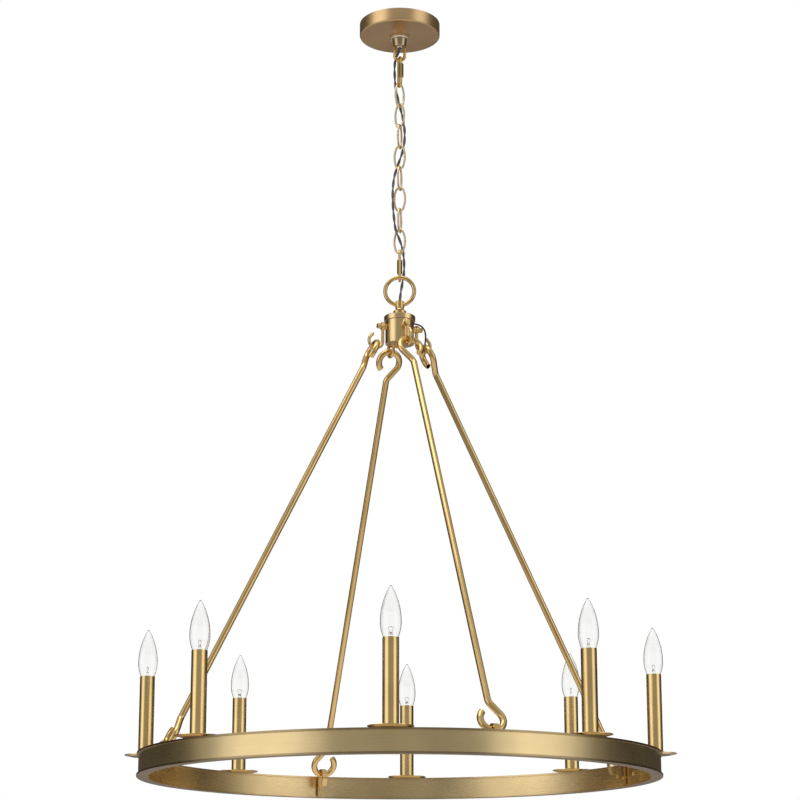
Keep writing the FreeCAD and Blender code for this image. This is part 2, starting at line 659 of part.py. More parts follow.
def inner_band():
    band = tube(INNER_BAND + BAND_THICK, INNER_BAND, RING_BOTTOM + FLANGE_THICK,
                RING_TOP - FLANGE_THICK)
    for azimuth, radius, z in screw_places():
        band = band.cut(wall_hole(azimuth, radius + SNUG, z))
    return band


def screw_places():
    """Azimuth, shank radius and height of the screws through the ring's inner wall."""
    hanger_z = RING_TOP - HANGER_SCREW_DROP
    cover_z = RING_TOP - RING_HEIGHT / 2
    wired = ROD_AZIMUTHS[WIRED_ROD]
    hangers = [(azimuth, SCREW_RADIUS, hanger_z) for azimuth in ROD_AZIMUTHS]
    covers = [(wired + turn, SCREW_RADIUS * 0.8, cover_z) for turn in (-COVER_SCREW_ANGLE,
                                                                       COVER_SCREW_ANGLE)]
    return hangers + covers


def ring_hanger(azimuth):
    """Flat strap up the ring's inner wall, curled inwards over its rod's loop."""
    out = direction(azimuth)
    low = RING_BOTTOM + HANGER_FOOT
    rise = HANGER_CROWN_Z - HANGER_CURL - low
    start = out * HANGER_RADIUS + V(0, 0, low)
    strap = bent(flat_section(HANGER_WIDTH, HANGER_THICK), start, out, UP, 90,
                 [(rise,), (HANGER_CURL, 180), (HANGER_TIP_CURVE, HANGER_TIP_BEND),
                  (HANGER_TIP_RUN,)])
    z = RING_TOP - HANGER_SCREW_DROP
    spacer = Part.makeCylinder(SCREW_RADIUS + 1.4, INNER_BAND - HANGER_RADIUS - 0.4,
                               out * HANGER_RADIUS + V(0, 0, z), out)
    hole = Part.makeCylinder(SCREW_RADIUS + SNUG, 14.0, out * (HANGER_RADIUS - 4.0) + V(0, 0, z), out)
    if azimuth == ROD_AZIMUTHS[WIRED_ROD]:
        spacer = Part.makeCylinder(SCREW_RADIUS + 1.4, INNER_BAND - HANGER_RADIUS - COVER_THICK - 0.5,
                                   out * HANGER_RADIUS + V(0, 0, z), out)
    return joined([strap, spacer]).cut(hole).Solids[0]


def wheel_screw(azimuth, radius, z, head_at):
    """Round-headed screw from inside the wheel, through the ring's inner wall."""
    out = direction(azimuth)
    head_radius = SCREW_HEAD_RADIUS * radius / SCREW_RADIUS
    foot = out * (head_at - SCREW_HEAD) + V(0, 0, z)
    shank_end = INNER_BAND + BAND_THICK + 2.5
    shank = Part.makeCylinder(radius, shank_end - head_at + SCREW_HEAD, foot, out)
    head = Part.makeCylinder(head_radius, SCREW_HEAD, foot, out)
    return joined([shank, head])


def wheel_screws():
    places = screw_places()
    strap_face = HANGER_RADIUS - HANGER_THICK / 2
    cover_face = INNER_BAND - COVER_THICK - SNUG
    hangers = [wheel_screw(a, r, z, strap_face) for a, r, z in places[:4]]
    covers = [wheel_screw(a, r, z, cover_face - SNUG) for a, r, z in places[4:]]
    return group(hangers + covers)


def wiring_cover():
    """Thin curved plate on the ring's inner wall, over the hole where the wired rod's lead goes in."""
    high = RING_TOP - FLANGE_THICK - 0.4
    low = RING_BOTTOM + FLANGE_THICK + 0.4
    face = INNER_BAND - SNUG
    section = Part.Face(Part.makePolygon([V(face - COVER_THICK, 0, low), V(face, 0, low),
                                          V(face, 0, high), V(face - COVER_THICK, 0, high),
                                          V(face - COVER_THICK, 0, low)]))
    plate = turned(section, ROD_AZIMUTHS[WIRED_ROD] - COVER_ANGLE)
    plate = plate.revolve(V(0, 0, 0), UP, 2 * COVER_ANGLE)
    places = screw_places()
    for azimuth, radius, z in [places[WIRED_ROD]] + places[4:]:
        plate = plate.cut(wall_hole(azimuth, radius + SNUG, z))
    return plate.Solids[0]


# ---- candles (made at the origin's axis, then stood round the ring) -------------------------------
def candle_pan():
    low = RING_TOP
    top = RING_TOP + PAN_RISE
    return revolved([
        (STEM_RADIUS + SNUG, low), (PAN_FLOOR_RADIUS, low), (PAN_RADIUS, top - PAN_SHEET),
        (PAN_RADIUS, top), (PAN_FLOOR_RADIUS, low + PAN_SHEET), (STEM_RADIUS + SNUG, low + PAN_SHEET),
    ])


def candle_stem():
    """Threaded tube, screwed down through the pan and the ring's top."""
    low = RING_TOP - FLANGE_THICK - 3.0
    return tube(STEM_RADIUS, STEM_BORE, low, SOCKET_BOTTOM + STEM_IN_SOCKET)


def stem_nut():
    """Clamps the pan to the ring, inside the sleeve."""
    return nut(STEM_NUT_FLATS, STEM_RADIUS + SNUG, PAN_TOP, PAN_TOP + STEM_NUT_HEIGHT)


def lamp_socket():
    """Open at the top for the bulb's base, down to its contact, and below for the stem."""
    floor = BASE_BOTTOM - BASE_CONTACT - GAP
    body = cylinder(SOCKET_RADIUS, SOCKET_BOTTOM, SOCKET_TOP)
    body = body.cut(cylinder(SOCKET_RADIUS - SOCKET_WALL, floor, SOCKET_TOP))
    return body.cut(cylinder(STEM_RADIUS + SNUG, SOCKET_BOTTOM, SOCKET_BOTTOM + STEM_IN_SOCKET))


def candle_sleeve():
    return tube(SLEEVE_RADIUS, SLEEVE_RADIUS - SLEEVE_WALL, PAN_TOP, SLEEVE_TOP)


def arc_middle(start, end, radius):
    """Point halfway along the arc of this radius from start to end, on its outer side."""
    dx = end[0] - start[0]
    dz = end[1] - start[1]
    chord = math.hypot(dx, dz)
    bulge = radius - math.sqrt(radius ** 2 - chord ** 2 / 4)
    middle = ((start[0] + end[0]) / 2, (start[1] + end[1]) / 2)
    return (middle[0] + bulge * dz / chord, middle[1] - bulge * dx / chord)


def bulb_glass():
    """Torpedo-shaped glass, hollow and open at its neck."""
    neck_z = SLEEVE_TOP - BULB_NECK_DEPTH
    widest_z = SLEEVE_TOP + BULB_WIDEST
    tip_z = SLEEVE_TOP + BULB_HEIGHT

    def outline(wall):
        wide = (BULB_RADIUS - wall, widest_z)
        tip = (BULB_TIP, tip_z - BULB_TIP - wall)
        rise = tip[1] - wide[1]
        run = wide[0] - tip[0]
        upper = (rise ** 2 + run ** 2) / (2 * run)
        neck = (BULB_NECK - wall, neck_z)
        drop = wide[1] - neck[1]
        lower_run = wide[0] - neck[0]
        lower = (drop ** 2 + lower_run ** 2) / (2 * lower_run)
        return neck, wide, tip, lower, upper, tip_z - wall

    neck, wide, tip, lower, upper, end = outline(0.0)
    in_neck, in_wide, in_tip, in_lower, in_upper, in_end = outline(BULB_GLASS)
    half = BULB_TIP * math.sqrt(0.5)
    return revolved([
        neck, arc_middle(neck, wide, lower) + wide, arc_middle(wide, tip, upper) + tip,
        (half, tip[1] + half, 0.0, end), (0.0, in_end),
        (half, in_tip[1] + half) + in_tip, arc_middle(in_wide, in_tip, in_upper) + in_wide,
        arc_middle(in_neck, in_wide, in_lower) + in_neck,
    ])

def bulb_base():
    """Small screw base with its end contact and a collar under the glass."""
    return revolved([
        (0.0, BASE_BOTTOM - BASE_CONTACT), (2.0, BASE_BOTTOM - BASE_CONTACT), (3.0, BASE_BOTTOM),
        (BASE_RADIUS - 0.8, BASE_BOTTOM), (BASE_RADIUS, BASE_BOTTOM + 0.8),
        (BASE_RADIUS, BASE_TOP - BASE_COLLAR), (BULB_NECK, BASE_TOP - BASE_COLLAR / 2),
        (BULB_NECK, BASE_TOP), (0.0, BASE_TOP),
    ])


def candle_places():
    return [direction(360.0 / CANDLE_COUNT * k) * RING_RADIUS for k in range(CANDLE_COUNT)]


def stood(shape, place):
    copy = shape.copy()
    copy.translate(place)
    return copy


# ---- build --------------------------------------------------------------------------------------
keep("mounting_strap", mounting_strap())
keep("threaded_nipple", tube(NIPPLE_RADIUS, NIPPLE_BORE, -NIPPLE_LENGTH, 0.0))
keep("strap_nut", nut(NUT_FLATS, NIPPLE_RADIUS + SNUG, -STRAP_THICK - NUT_HEIGHT, -STRAP_THICK))
keep("ground_screw", ground_screw())
keep("canopy_loop", canopy_loop())
keep("canopy", canopy())
keep("screw_collar", screw_collar())
keep("quick_link_upper", quick_link(QUICK_UPPER_TOP, QUICK_UPPER_TURN + 180))
keep("quick_link_upper_nut", quick_link_nut(QUICK_UPPER_TOP, QUICK_UPPER_TURN + 180))
for number, (link_top, link_turn) in enumerate(zip(LINK_TOPS, LINK_TURNS), 1):
    keep("chain_link_%d" % number, chain_link(link_top, link_turn))
keep("quick_link_lower", quick_link(QUICK_LOWER_TOP, QUICK_LOWER_TURN))
keep("quick_link_lower_nut", quick_link_nut(QUICK_LOWER_TOP, QUICK_LOWER_TURN))
keep("hub_loop", hub_loop())
keep("hub_lid", hub_lid())
keep("hub_shell", hub_shell())
keep("hub_base_plate", hub_base_plate())
keep("hub_tie_bolt", hub_tie_bolt())
keep("hub_studs", group([hub_stud(azimuth) for azimuth in ROD_AZIMUTHS]))
keep("hub_hooks", group([hub_hook(azimuth) for azimuth in ROD_AZIMUTHS]))
keep("supply_cord", along_route(CORD_POINTS, CORD_DIAMETER, "supply cord"))
keep("feed_lead", feed_lead())
for number, (rod_name, rod_azimuth) in enumerate(zip(ROD_NAMES, ROD_AZIMUTHS)):
    keep(rod_name, rod(rod_azimuth, number == WIRED_ROD))
keep("ring_top_flange", top_flange())
keep("ring_bottom_flange", flange(RING_BOTTOM))
keep("ring_outer_band", tube(OUTER_BAND, OUTER_BAND - BAND_THICK, RING_BOTTOM + FLANGE_THICK,
                             RING_TOP - FLANGE_THICK))
keep("ring_inner_band", inner_band())
keep("ring_hangers", group([ring_hanger(azimuth) for azimuth in ROD_AZIMUTHS]))
keep("wheel_screws", wheel_screws())
keep("wiring_cover", wiring_cover())
for name, piece in (("candle_pans", candle_pan()), ("candle_stems", candle_stem()),
                    ("stem_nuts", stem_nut()), ("lamp_sockets", lamp_socket()),
                    ("candle_sleeves", candle_sleeve())):
    keep(name, group([stood(piece, place) for place in candle_places()]))
for number, place in enumerate(candle_places(), 1):
    keep("bulb_glass_%d" % number, stood(bulb_glass(), place))
    keep("bulb_base_%d" % number, stood(bulb_base(), place))

whole_box = FreeCAD.BoundBox()
for name, shape in NODES.items():
    shape.exportStep(os.path.join("parts", name + ".step"))
    whole_box.add(shape.BoundBox)
print("%d nodes; box X %.1f..%.1f  Y %.1f..%.1f  Z %.1f..%.1f"
      % (len(NODES), whole_box.XMin, whole_box.XMax, whole_box.YMin, whole_box.YMax,
         whole_box.ZMin, whole_box.ZMax))
pivot_z = ROD_TOP_Z + TROUGH_RADIUS * (ROD_TOP_Z - ROD_BOTTOM_Z) / (HANGER_MIDDLE - TROUGH_RADIUS)
print("rod pivots at radius %.2f, z %.2f; lower loops at radius %.2f, z %.2f; their lines meet at z %.2f"
      % (TROUGH_RADIUS, ROD_TOP_Z, HANGER_MIDDLE, ROD_BOTTOM_Z, pivot_z))
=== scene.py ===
# %% [markdown]
# # A wagon wheel chandelier
# Eight candle lamps stand on a wide metal ring. Four hooked rods carry the ring from a small round
# hub, and a chain hangs the hub from a flat ceiling canopy. The solid pieces come from the packed
# model, so this lesson makes what that model leaves plain: the camera, the light, the finishes, the
# twisted cord and the small parts. Everything is in metres, with +Z up and the origin on the ceiling.

# %% Load the frame
import json
import math
import bpy
import numpy as np
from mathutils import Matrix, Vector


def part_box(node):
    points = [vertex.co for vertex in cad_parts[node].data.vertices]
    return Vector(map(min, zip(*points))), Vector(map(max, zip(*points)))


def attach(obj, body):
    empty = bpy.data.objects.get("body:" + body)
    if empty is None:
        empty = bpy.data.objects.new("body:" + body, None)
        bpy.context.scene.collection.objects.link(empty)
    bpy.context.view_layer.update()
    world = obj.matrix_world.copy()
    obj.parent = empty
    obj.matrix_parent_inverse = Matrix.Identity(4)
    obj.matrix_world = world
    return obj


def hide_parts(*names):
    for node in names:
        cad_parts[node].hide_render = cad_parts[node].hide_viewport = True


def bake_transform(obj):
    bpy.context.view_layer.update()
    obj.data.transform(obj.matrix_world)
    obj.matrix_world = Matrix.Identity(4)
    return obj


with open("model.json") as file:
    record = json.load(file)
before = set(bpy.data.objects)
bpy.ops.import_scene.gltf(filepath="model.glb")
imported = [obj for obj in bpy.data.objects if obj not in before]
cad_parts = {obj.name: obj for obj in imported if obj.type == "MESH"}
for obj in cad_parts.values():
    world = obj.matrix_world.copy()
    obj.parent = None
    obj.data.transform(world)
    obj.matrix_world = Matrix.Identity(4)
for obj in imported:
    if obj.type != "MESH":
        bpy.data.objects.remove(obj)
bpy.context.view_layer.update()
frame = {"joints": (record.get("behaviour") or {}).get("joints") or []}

# %% [markdown]
# ## Camera
# The photograph looks up at the lamp a little from below, from about three metres. A lens of 97 mm on
# a 36 mm sensor gives its flat perspective. The small vertical shift stands for the picture's crop.

# %% Place the camera
CAMERA_PLACE = (0.0995, -3.1872, -1.4695)
CAMERA_UP = 13.36           # degrees above level
CAMERA_TURN = 1.78          # degrees to the left of straight ahead

camera = bpy.data.objects.new("camera", bpy.data.cameras.new("camera"))
bpy.context.scene.collection.objects.link(camera)
camera.location = CAMERA_PLACE
camera.rotation_euler = (math.radians(90 + CAMERA_UP), 0, math.radians(CAMERA_TURN))
camera.data.sensor_width = 36
camera.data.lens = 97.25
camera.data.shift_y = 0.075
bpy.context.scene.camera = camera
print("camera at", tuple(round(v, 3) for v in camera.location))

# %% [markdown]
# ## Surfaces from grids
# Every new piece is a grid of points: rows run along the piece, columns run round it. A tube is a
# circle carried along a path, and a turned ring is a profile carried round an axis. Whole arrays of
# points are worked out at once, and the faces are the grid's own squares. One flat face closes each
# open end, and a hollow piece has none, because its last row joins its first.

# %% Grids and pieces
def grid(points, hollow=False):
    """The points in one list, and the faces. points[i, j] is row i, column j, and the columns of a row
    form a ring. Faces point outwards when the columns run anticlockwise, seen from the last row."""
    rows, columns = points.shape[:2]
    index = np.arange(rows * columns).reshape(rows, columns)
    low, high = (index, np.roll(index, -1, axis=0)) if hollow else (index[:-1], index[1:])
    squares = np.stack([low, np.roll(low, -1, axis=1), np.roll(high, -1, axis=1), high], axis=-1)
    ends = [] if hollow else [index[:1, ::-1], index[-1:]]
    return points.reshape(-1, 3), [squares.reshape(-1, 4), *ends]


def make(name, *grids):
    """One smooth mesh from one or more grids: their points one after another, with each grid's face
    numbers moved up by the points before it."""
    faces, start = [], 0
    for points, blocks in grids:
        for block in blocks:
            faces += (block + start).tolist()
        start += len(points)
    mesh = bpy.data.meshes.new(name)
    mesh.from_pydata(np.concatenate([points for points, blocks in grids]).tolist(), [], faces)
    mesh.polygons.foreach_set("use_smooth", np.ones(len(mesh.polygons), bool))
    mesh.update()
    piece = bpy.data.objects.new(name, mesh)
    bpy.context.scene.collection.objects.link(piece)
    return piece


print("grids ready")

# %% Tubes and turned rings
def around(columns):
    """Angles evenly spaced round one full turn."""
    return np.linspace(0, 2 * np.pi, columns, endpoint=False)


def unit(vectors):
    """Each vector divided by its own length."""
    return vectors / np.linalg.norm(vectors, axis=-1, keepdims=True)


def path_frames(path, aside):
    """Two directions across the path at each of its points: one is aside made square to the path, the
    other is square to both."""
    along = unit(np.gradient(path, axis=0))
    across = unit(aside - along * (along @ aside)[:, None])
    return across, np.cross(along, across)


def tube(path, radius, aside, columns):
    """A circle carried along the path, with one radius or one for each point:
    point = path + radius * (across * cos turn + other * sin turn)."""
    across, other = path_frames(path, np.array(aside, float))
    turn = around(columns)[:, None]
    ring = across[:, None] * np.cos(turn) + other[:, None] * np.sin(turn)
    reach = np.broadcast_to(np.asarray(radius, float), len(path))[:, None, None]
    return grid(path[:, None] + ring * reach)


def turned_ring(profile, columns):
    """A closed profile of (radius, height) pairs, its outer side going up, carried round the vertical
    axis: point = (radius cos turn, radius sin turn, height)."""
    radius, height = np.array(profile, float).T[..., None]
    turn = around(columns)
    rise = np.broadcast_to(height, (len(profile), columns))
    return grid(np.stack([radius * np.cos(turn), radius * np.sin(turn), rise], axis=-1), hollow=True)


print("tubes ready")

# %% [markdown]
# ## Supply cord
# Real lamp cord is two insulated wires twisted together. Here it is threaded loosely down through the
# chain. Its line is one smooth curve with the route's points as control points, and the two strands
# wind round that line. Each hinge of the chain gets its own stretch of cord.

# %% Cord line
CORD_POINTS = (
    (0.0, 0.0, -0.0285), (0.0001, 0.0005, -0.039), (-0.0032, 0.0044, -0.0485),
    (-0.008, 0.0058, -0.06), (-0.0083, 0.0034, -0.078), (-0.0076, 0.0038, -0.097),
    (-0.0052, 0.0064, -0.114), (-0.0012, 0.0074, -0.131), (0.0028, 0.0062, -0.148),
    (0.0064, 0.005, -0.165), (0.008, 0.0026, -0.182), (0.0074, 0.0032, -0.2),
    (0.0036, 0.006, -0.216), (-0.002, 0.0074, -0.231), (-0.0068, 0.0054, -0.246),
    (-0.0096, 0.0012, -0.262), (-0.0108, -0.003, -0.279), (-0.0109, -0.004, -0.297),
    (-0.0098, -0.0034, -0.315), (-0.0082, -0.0038, -0.331), (-0.0066, -0.0048, -0.345),
    (-0.0016, -0.0028, -0.3575), (0.0026, 0.0018, -0.368), (0.0056, 0.0046, -0.381),
    (0.0068, 0.0032, -0.397), (0.0068, 0.0042, -0.412), (0.0046, 0.0064, -0.425),
    (0.0024, 0.0046, -0.439), (0.0006, 0.0014, -0.453), (0.0, 0.0, -0.468),
    (-0.0002, 0.0001, -0.482),
)
LINE_STEPS = 22             # points read back from each piece of a smooth line


def smooth_line(name, points):
    """One NURBS spline with the route's points as control points: the points read back from it as a
    mesh, and how far along it each one is."""
    curve = bpy.data.curves.new(name, "CURVE")
    curve.dimensions = "3D"
    curve.resolution_u = LINE_STEPS
    spline = curve.splines.new("NURBS")
    spline.points.add(len(points) - 1)
    spline.points.foreach_set("co", np.column_stack([points, np.ones(len(points))]).ravel())
    spline.order_u = 3
    spline.use_endpoint_u = True
    holder = bpy.data.objects.new(name, curve)
    mesh = bpy.data.meshes.new_from_object(holder)
    flat = np.zeros(len(mesh.vertices) * 3)
    mesh.vertices.foreach_get("co", flat)
    line = flat.reshape(-1, 3)
    bpy.data.objects.remove(holder)
    bpy.data.meshes.remove(mesh)
    bpy.data.curves.remove(curve)
    return line, np.concatenate([[0], np.cumsum(np.linalg.norm(np.diff(line, axis=0), axis=1))])


cord_line, cord_run = smooth_line("cord_line", CORD_POINTS)
print("supply cord", len(cord_line), "points,", round(cord_run[-1], 4), "m")

# %% Cut heights, one stretch for each hinge of the chain
LINKS = [f"chain_link_{k}" for k in range(1, 9)]
CHAIN = ["ceiling_fixing", "upper_quick_link", *LINKS, "lower_quick_link", "hub"]
hinge_above = {j["child"]: j for j in frame["joints"]}
hinge_z = [hinge_above[body]["pos_m"][2] for body in CHAIN[1:]]
middle_z = [(a + b) / 2 for a, b in zip(hinge_z, hinge_z[1:])]
cut_z = [cord_line[0, 2], *middle_z, cord_line[-1, 2]]
print("hinges at", [round(z, 4) for z in hinge_z])

# %% Twisted strands
STRAND = 0.00118            # radius of one insulated wire
STRAND_OFFSET = 0.00100     # from the cord's line to the middle of a wire
TWIST_PITCH = 0.038         # length of one full twist

cord_across, cord_other = path_frames(cord_line, np.array([1.0, 0.0, 0.0]))
twist = (cord_run / TWIST_PITCH * 2 * np.pi)[:, None]
strand_lines = [cord_line + STRAND_OFFSET * (cord_across * np.cos(twist + side)
                                             + cord_other * np.sin(twist + side))
                for side in (0, np.pi)]


def cord_stretch(k):
    """Stretch k of the cord, from one cut height to the next, across hinge k of the chain."""
    inside = (cord_line[:, 2] <= cut_z[k - 1] + 1e-9) & (cord_line[:, 2] >= cut_z[k] - 1e-9)
    first, *_, last = np.flatnonzero(inside)
    rows = slice(max(first - 1, 0), last + 1)
    stretch = make(f"cord_stretch_{k}", *[tube(line[rows], STRAND, (1, 0, 0), columns=10)
                                          for line in strand_lines])
    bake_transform(stretch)
    return stretch


cord_pieces = [cord_stretch(k) for k in range(1, len(CHAIN))]
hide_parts("supply_cord")
print("cord stretches", len(cord_pieces))

# %% [markdown]
# ## Feed lead
# One of the four rods is a tube, and a thin lead runs from a hole in the hub's side into it. The route
# is given in that rod's own upright plane: how far out, how far aside, and how high above the stud.

# %% Feed lead
STUD_Z = -0.50355
LEAD_AZIMUTH = math.radians(22.5)
LEAD_RADIUS = 0.0013
LEAD_ROUTE = ((0.0184, -0.0062, 0.0072), (0.026, -0.0062, 0.0072), (0.0332, -0.0069, 0.0046),
              (0.0383, -0.0074, -0.0012), (0.04, -0.0075, -0.0095), (0.0398, -0.0071, -0.018),
              (0.0389, -0.0066, -0.025), (0.0389, -0.0066, -0.0318))

lead_out = np.array([math.cos(LEAD_AZIMUTH), math.sin(LEAD_AZIMUTH), 0.0])
lead_aside = np.array([-math.sin(LEAD_AZIMUTH), math.cos(LEAD_AZIMUTH), 0.0])
lead_points = [out * lead_out + aside * lead_aside + np.array([0, 0, STUD_Z + up])
               for out, aside, up in LEAD_ROUTE]
lead_line, lead_run = smooth_line("lead_line", lead_points)
feed_lead = make("feed_lead_cover", tube(lead_line, LEAD_RADIUS, lead_aside, columns=14))
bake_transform(feed_lead)
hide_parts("feed_lead")
print("feed lead", len(lead_line), "points,", round(lead_run[-1], 4), "m")

# %% [markdown]
# ## Weld beads
# Each oval link is bent from round wire and welded where its ends meet, half way down one side. The
# weld leaves a low swelling round the wire. It is a short tube whose radius rises from just under the
# wire's own and falls back to it. The hinge below a link turns about a line in the link's own plane,
# so that line says which way the sides of the link lie.

# %% Weld beads
WIRE = 0.0016               # radius of the links' wire
SIDE = 0.0087               # from the chain's middle to the middle of the wire
BEAD_HALF = 0.0026          # half the length of a bead
BEAD_SUNK = 0.00012         # how far its ends are under the wire's surface
BEAD_RISE = 0.00042         # how much the radius grows in the middle
BEAD_CURVE = 0.00008        # how far the wire bends in towards the bead's ends


def weld_bead(k):
    """The bead on link k. With t from -1 to 1 along the wire, the radius is the wire's own, less the
    sunk part, plus the rise times (cos of a quarter turn times t) to the power 0.8."""
    link = LINKS[k - 1]
    t = np.linspace(-1, 1, 15)
    swell = WIRE - BEAD_SUNK + BEAD_RISE * np.cos(t * np.pi / 2) ** 0.8
    out = SIDE - BEAD_CURVE * t ** 2
    east, north, _ = hinge_above[CHAIN[CHAIN.index(link) + 1]]["axis"]
    way = -1 if k % 3 == 0 else 1
    low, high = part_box(link)
    path = np.column_stack([way * out * east, way * out * north, (low.z + high.z) / 2 + BEAD_HALF * t])
    bead = make(f"weld_bead_{k}", tube(path, swell, (1, 0, 0), columns=20))
    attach(bead, link)
    return bead


beads = [weld_bead(k) for k in range(1, len(LINKS) + 1)]
print("weld beads", len(beads))

# %% [markdown]
# ## Nipple end
# The canopy loop's bail hangs from a hollow threaded nipple, and its plated end shows under the cone,
# with the cord coming out of the hole. It is a short turned ring, and its profile goes down inside,
# out along the bottom, up outside and back along the top.

# %% Nipple end
BORE, OUTSIDE = 0.0034, 0.0050
NIPPLE_TOP, NIPPLE_BOTTOM = -0.0370, -0.0402

nipple_end = make("nipple_end", turned_ring([
    (BORE, NIPPLE_TOP - 0.0004), (BORE, NIPPLE_BOTTOM + 0.0003),
    (BORE + 0.0003, NIPPLE_BOTTOM), (OUTSIDE - 0.0003, NIPPLE_BOTTOM),
    (OUTSIDE, NIPPLE_BOTTOM + 0.0004), (OUTSIDE, NIPPLE_TOP - 0.0004),
    (OUTSIDE - 0.0002, NIPPLE_TOP), (BORE + 0.0002, NIPPLE_TOP)], columns=40))
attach(nipple_end, "ceiling_fixing")
print("nipple end", tuple(round(v, 4) for v in nipple_end.dimensions))

# %% [markdown]
# ## Inside the bulbs
# A clear bulb shows its works: a glass stem with a pinched top, two support wires that rise from it,
# and a fine coil of tungsten between them. The stem is a column that flattens towards its top, the
# wires are thin tubes on bent paths, and the filament is a tube carried round a small coil on an arc.

# %% Bulb works
UP = np.array([0.0, 0.0, 1.0])
FOOT_RISE = 0.0022          # from the bottom of the glass to the foot of the stem
BULB_TURN = 0.9             # radians between the directions of one bulb's filament and the next
STEM_HEIGHT = 0.0085
STEM_RADIUS = 0.0031
WIRE_FROM, WIRE_TO = 0.0075, 0.0135
WIRE_GAP, WIRE_SPREAD = 0.0013, 0.0024
SUPPORT_RADIUS = 0.00030
COIL_ARCH = 0.0020
COIL_TURNS = 26
COIL_RADIUS = 0.00034
TUNGSTEN_RADIUS = 0.00009


def stem_grid(foot, out, side):
    """An oval column: it narrows as it rises, and from 0.45 of its height a pinch makes it a little
    wider one way and much thinner the other."""
    rise = np.linspace(0, 1, 24)[:, None]
    pinch = np.clip((rise - 0.45) / 0.55, 0, 1)
    wide = STEM_RADIUS - 0.0008 * rise + 0.0006 * pinch
    thin = wide * (1 - 0.62 * pinch)
    turn = around(20)
    return grid(foot + (STEM_HEIGHT * rise)[..., None] * UP
                + (wide * np.cos(turn))[..., None] * out + (thin * np.sin(turn))[..., None] * side)


def wire_grid(foot, out, side, way):
    """A thin tube that rises and leans outwards: its distance from the middle grows as t to 1.4."""
    t = np.linspace(0, 1, 16)
    path = (foot + np.outer(WIRE_FROM + (WIRE_TO - WIRE_FROM) * t, UP)
            + np.outer(way * (WIRE_GAP + WIRE_SPREAD * t ** 1.4), out))
    return tube(path, SUPPORT_RADIUS, side, columns=6)


def filament_grid(foot, out, side):
    """A helix round a low arch between the wires' tips: arch height = 1 - t squared, t from -1 to 1."""
    t = np.linspace(-1, 1, 241)
    arch = (foot + np.outer(WIRE_TO + COIL_ARCH * (1 - t ** 2), UP)
            + np.outer((WIRE_GAP + WIRE_SPREAD) * t, out))
    turn = t * COIL_TURNS * np.pi
    coil = arch + COIL_RADIUS * (np.outer(np.cos(turn), UP) + np.outer(np.sin(turn), side))
    return tube(coil, TUNGSTEN_RADIUS, out + 0.01 * UP, columns=5)


def bulb_works(k):
    """Stem, wires and filament of bulb k, standing in the middle of the glass's neck."""
    low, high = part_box(f"bulb_glass_{k}")
    foot = np.array([(low.x + high.x) / 2, (low.y + high.y) / 2, low.z + FOOT_RISE])
    out = np.array([math.cos(BULB_TURN * k), math.sin(BULB_TURN * k), 0.0])
    side = np.cross(UP, out)
    stem = make(f"bulb_stem_{k}", stem_grid(foot, out, side))
    filament = make(f"filament_{k}", filament_grid(foot, out, side))
    wires = make(f"bulb_wires_{k}", *[wire_grid(foot, out, side, way) for way in (-1, 1)])
    for piece, slot in ((stem, "bulb_glass"), (wires, "bulb_base"), (filament, "bulb_base")):
        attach(piece, f"bulb_{k}")
    return [stem, wires, filament]


works = sum([bulb_works(k) for k in range(1, 9)], [])
print("pieces inside the bulbs", len(works))

# %% [markdown]
# ## Shader maths
# A shader is a graph of small nodes. Writing it as ordinary sums is easier to read, so one class wraps
# a socket, and each operator adds the Math node that does it. Every other node comes from the same
# method, which takes the node's kind, its settings, and the values or links of its sockets.

# %% Socket arithmetic
class Term:
    """One shader value. Its operators, on either side of a number, add Math nodes."""

    def __init__(self, shop, socket):
        self.shop = shop
        self.socket = socket

    def sum(self, operation, *terms):
        return self.shop.node("Math", {"operation": operation}, dict(enumerate(terms)))

    def __add__(self, other):
        return self.sum("ADD", self, other)

    def __radd__(self, other):
        return self.sum("ADD", other, self)

    def __sub__(self, other):
        return self.sum("SUBTRACT", self, other)

    def __rsub__(self, other):
        return self.sum("SUBTRACT", other, self)

    def __mul__(self, other):
        return self.sum("MULTIPLY", self, other)

    def __rmul__(self, other):
        return self.sum("MULTIPLY", other, self)

    def __pow__(self, other):
        return self.sum("POWER", self, other)

    def __neg__(self):
        return self.sum("MULTIPLY", self, -1.0)

    def size(self):
        return self.sum("ABSOLUTE", self)

    def at_least(self, other):
        return self.sum("MAXIMUM", self, other)

    def turn_from(self, other):
        """The angle, in radians, of the point that is other along and this value across."""
        return self.sum("ARCTAN2", self, other)

    def step(self, low, high, start=0.0, end=1.0):
        """Goes smoothly from start to end while this value goes from low to high."""
        return self.shop.node("MapRange", {"interpolation_type": "SMOOTHSTEP"},
                              {0: self, 1: low, 2: high, 3: start, 4: end})


print("socket arithmetic ready")

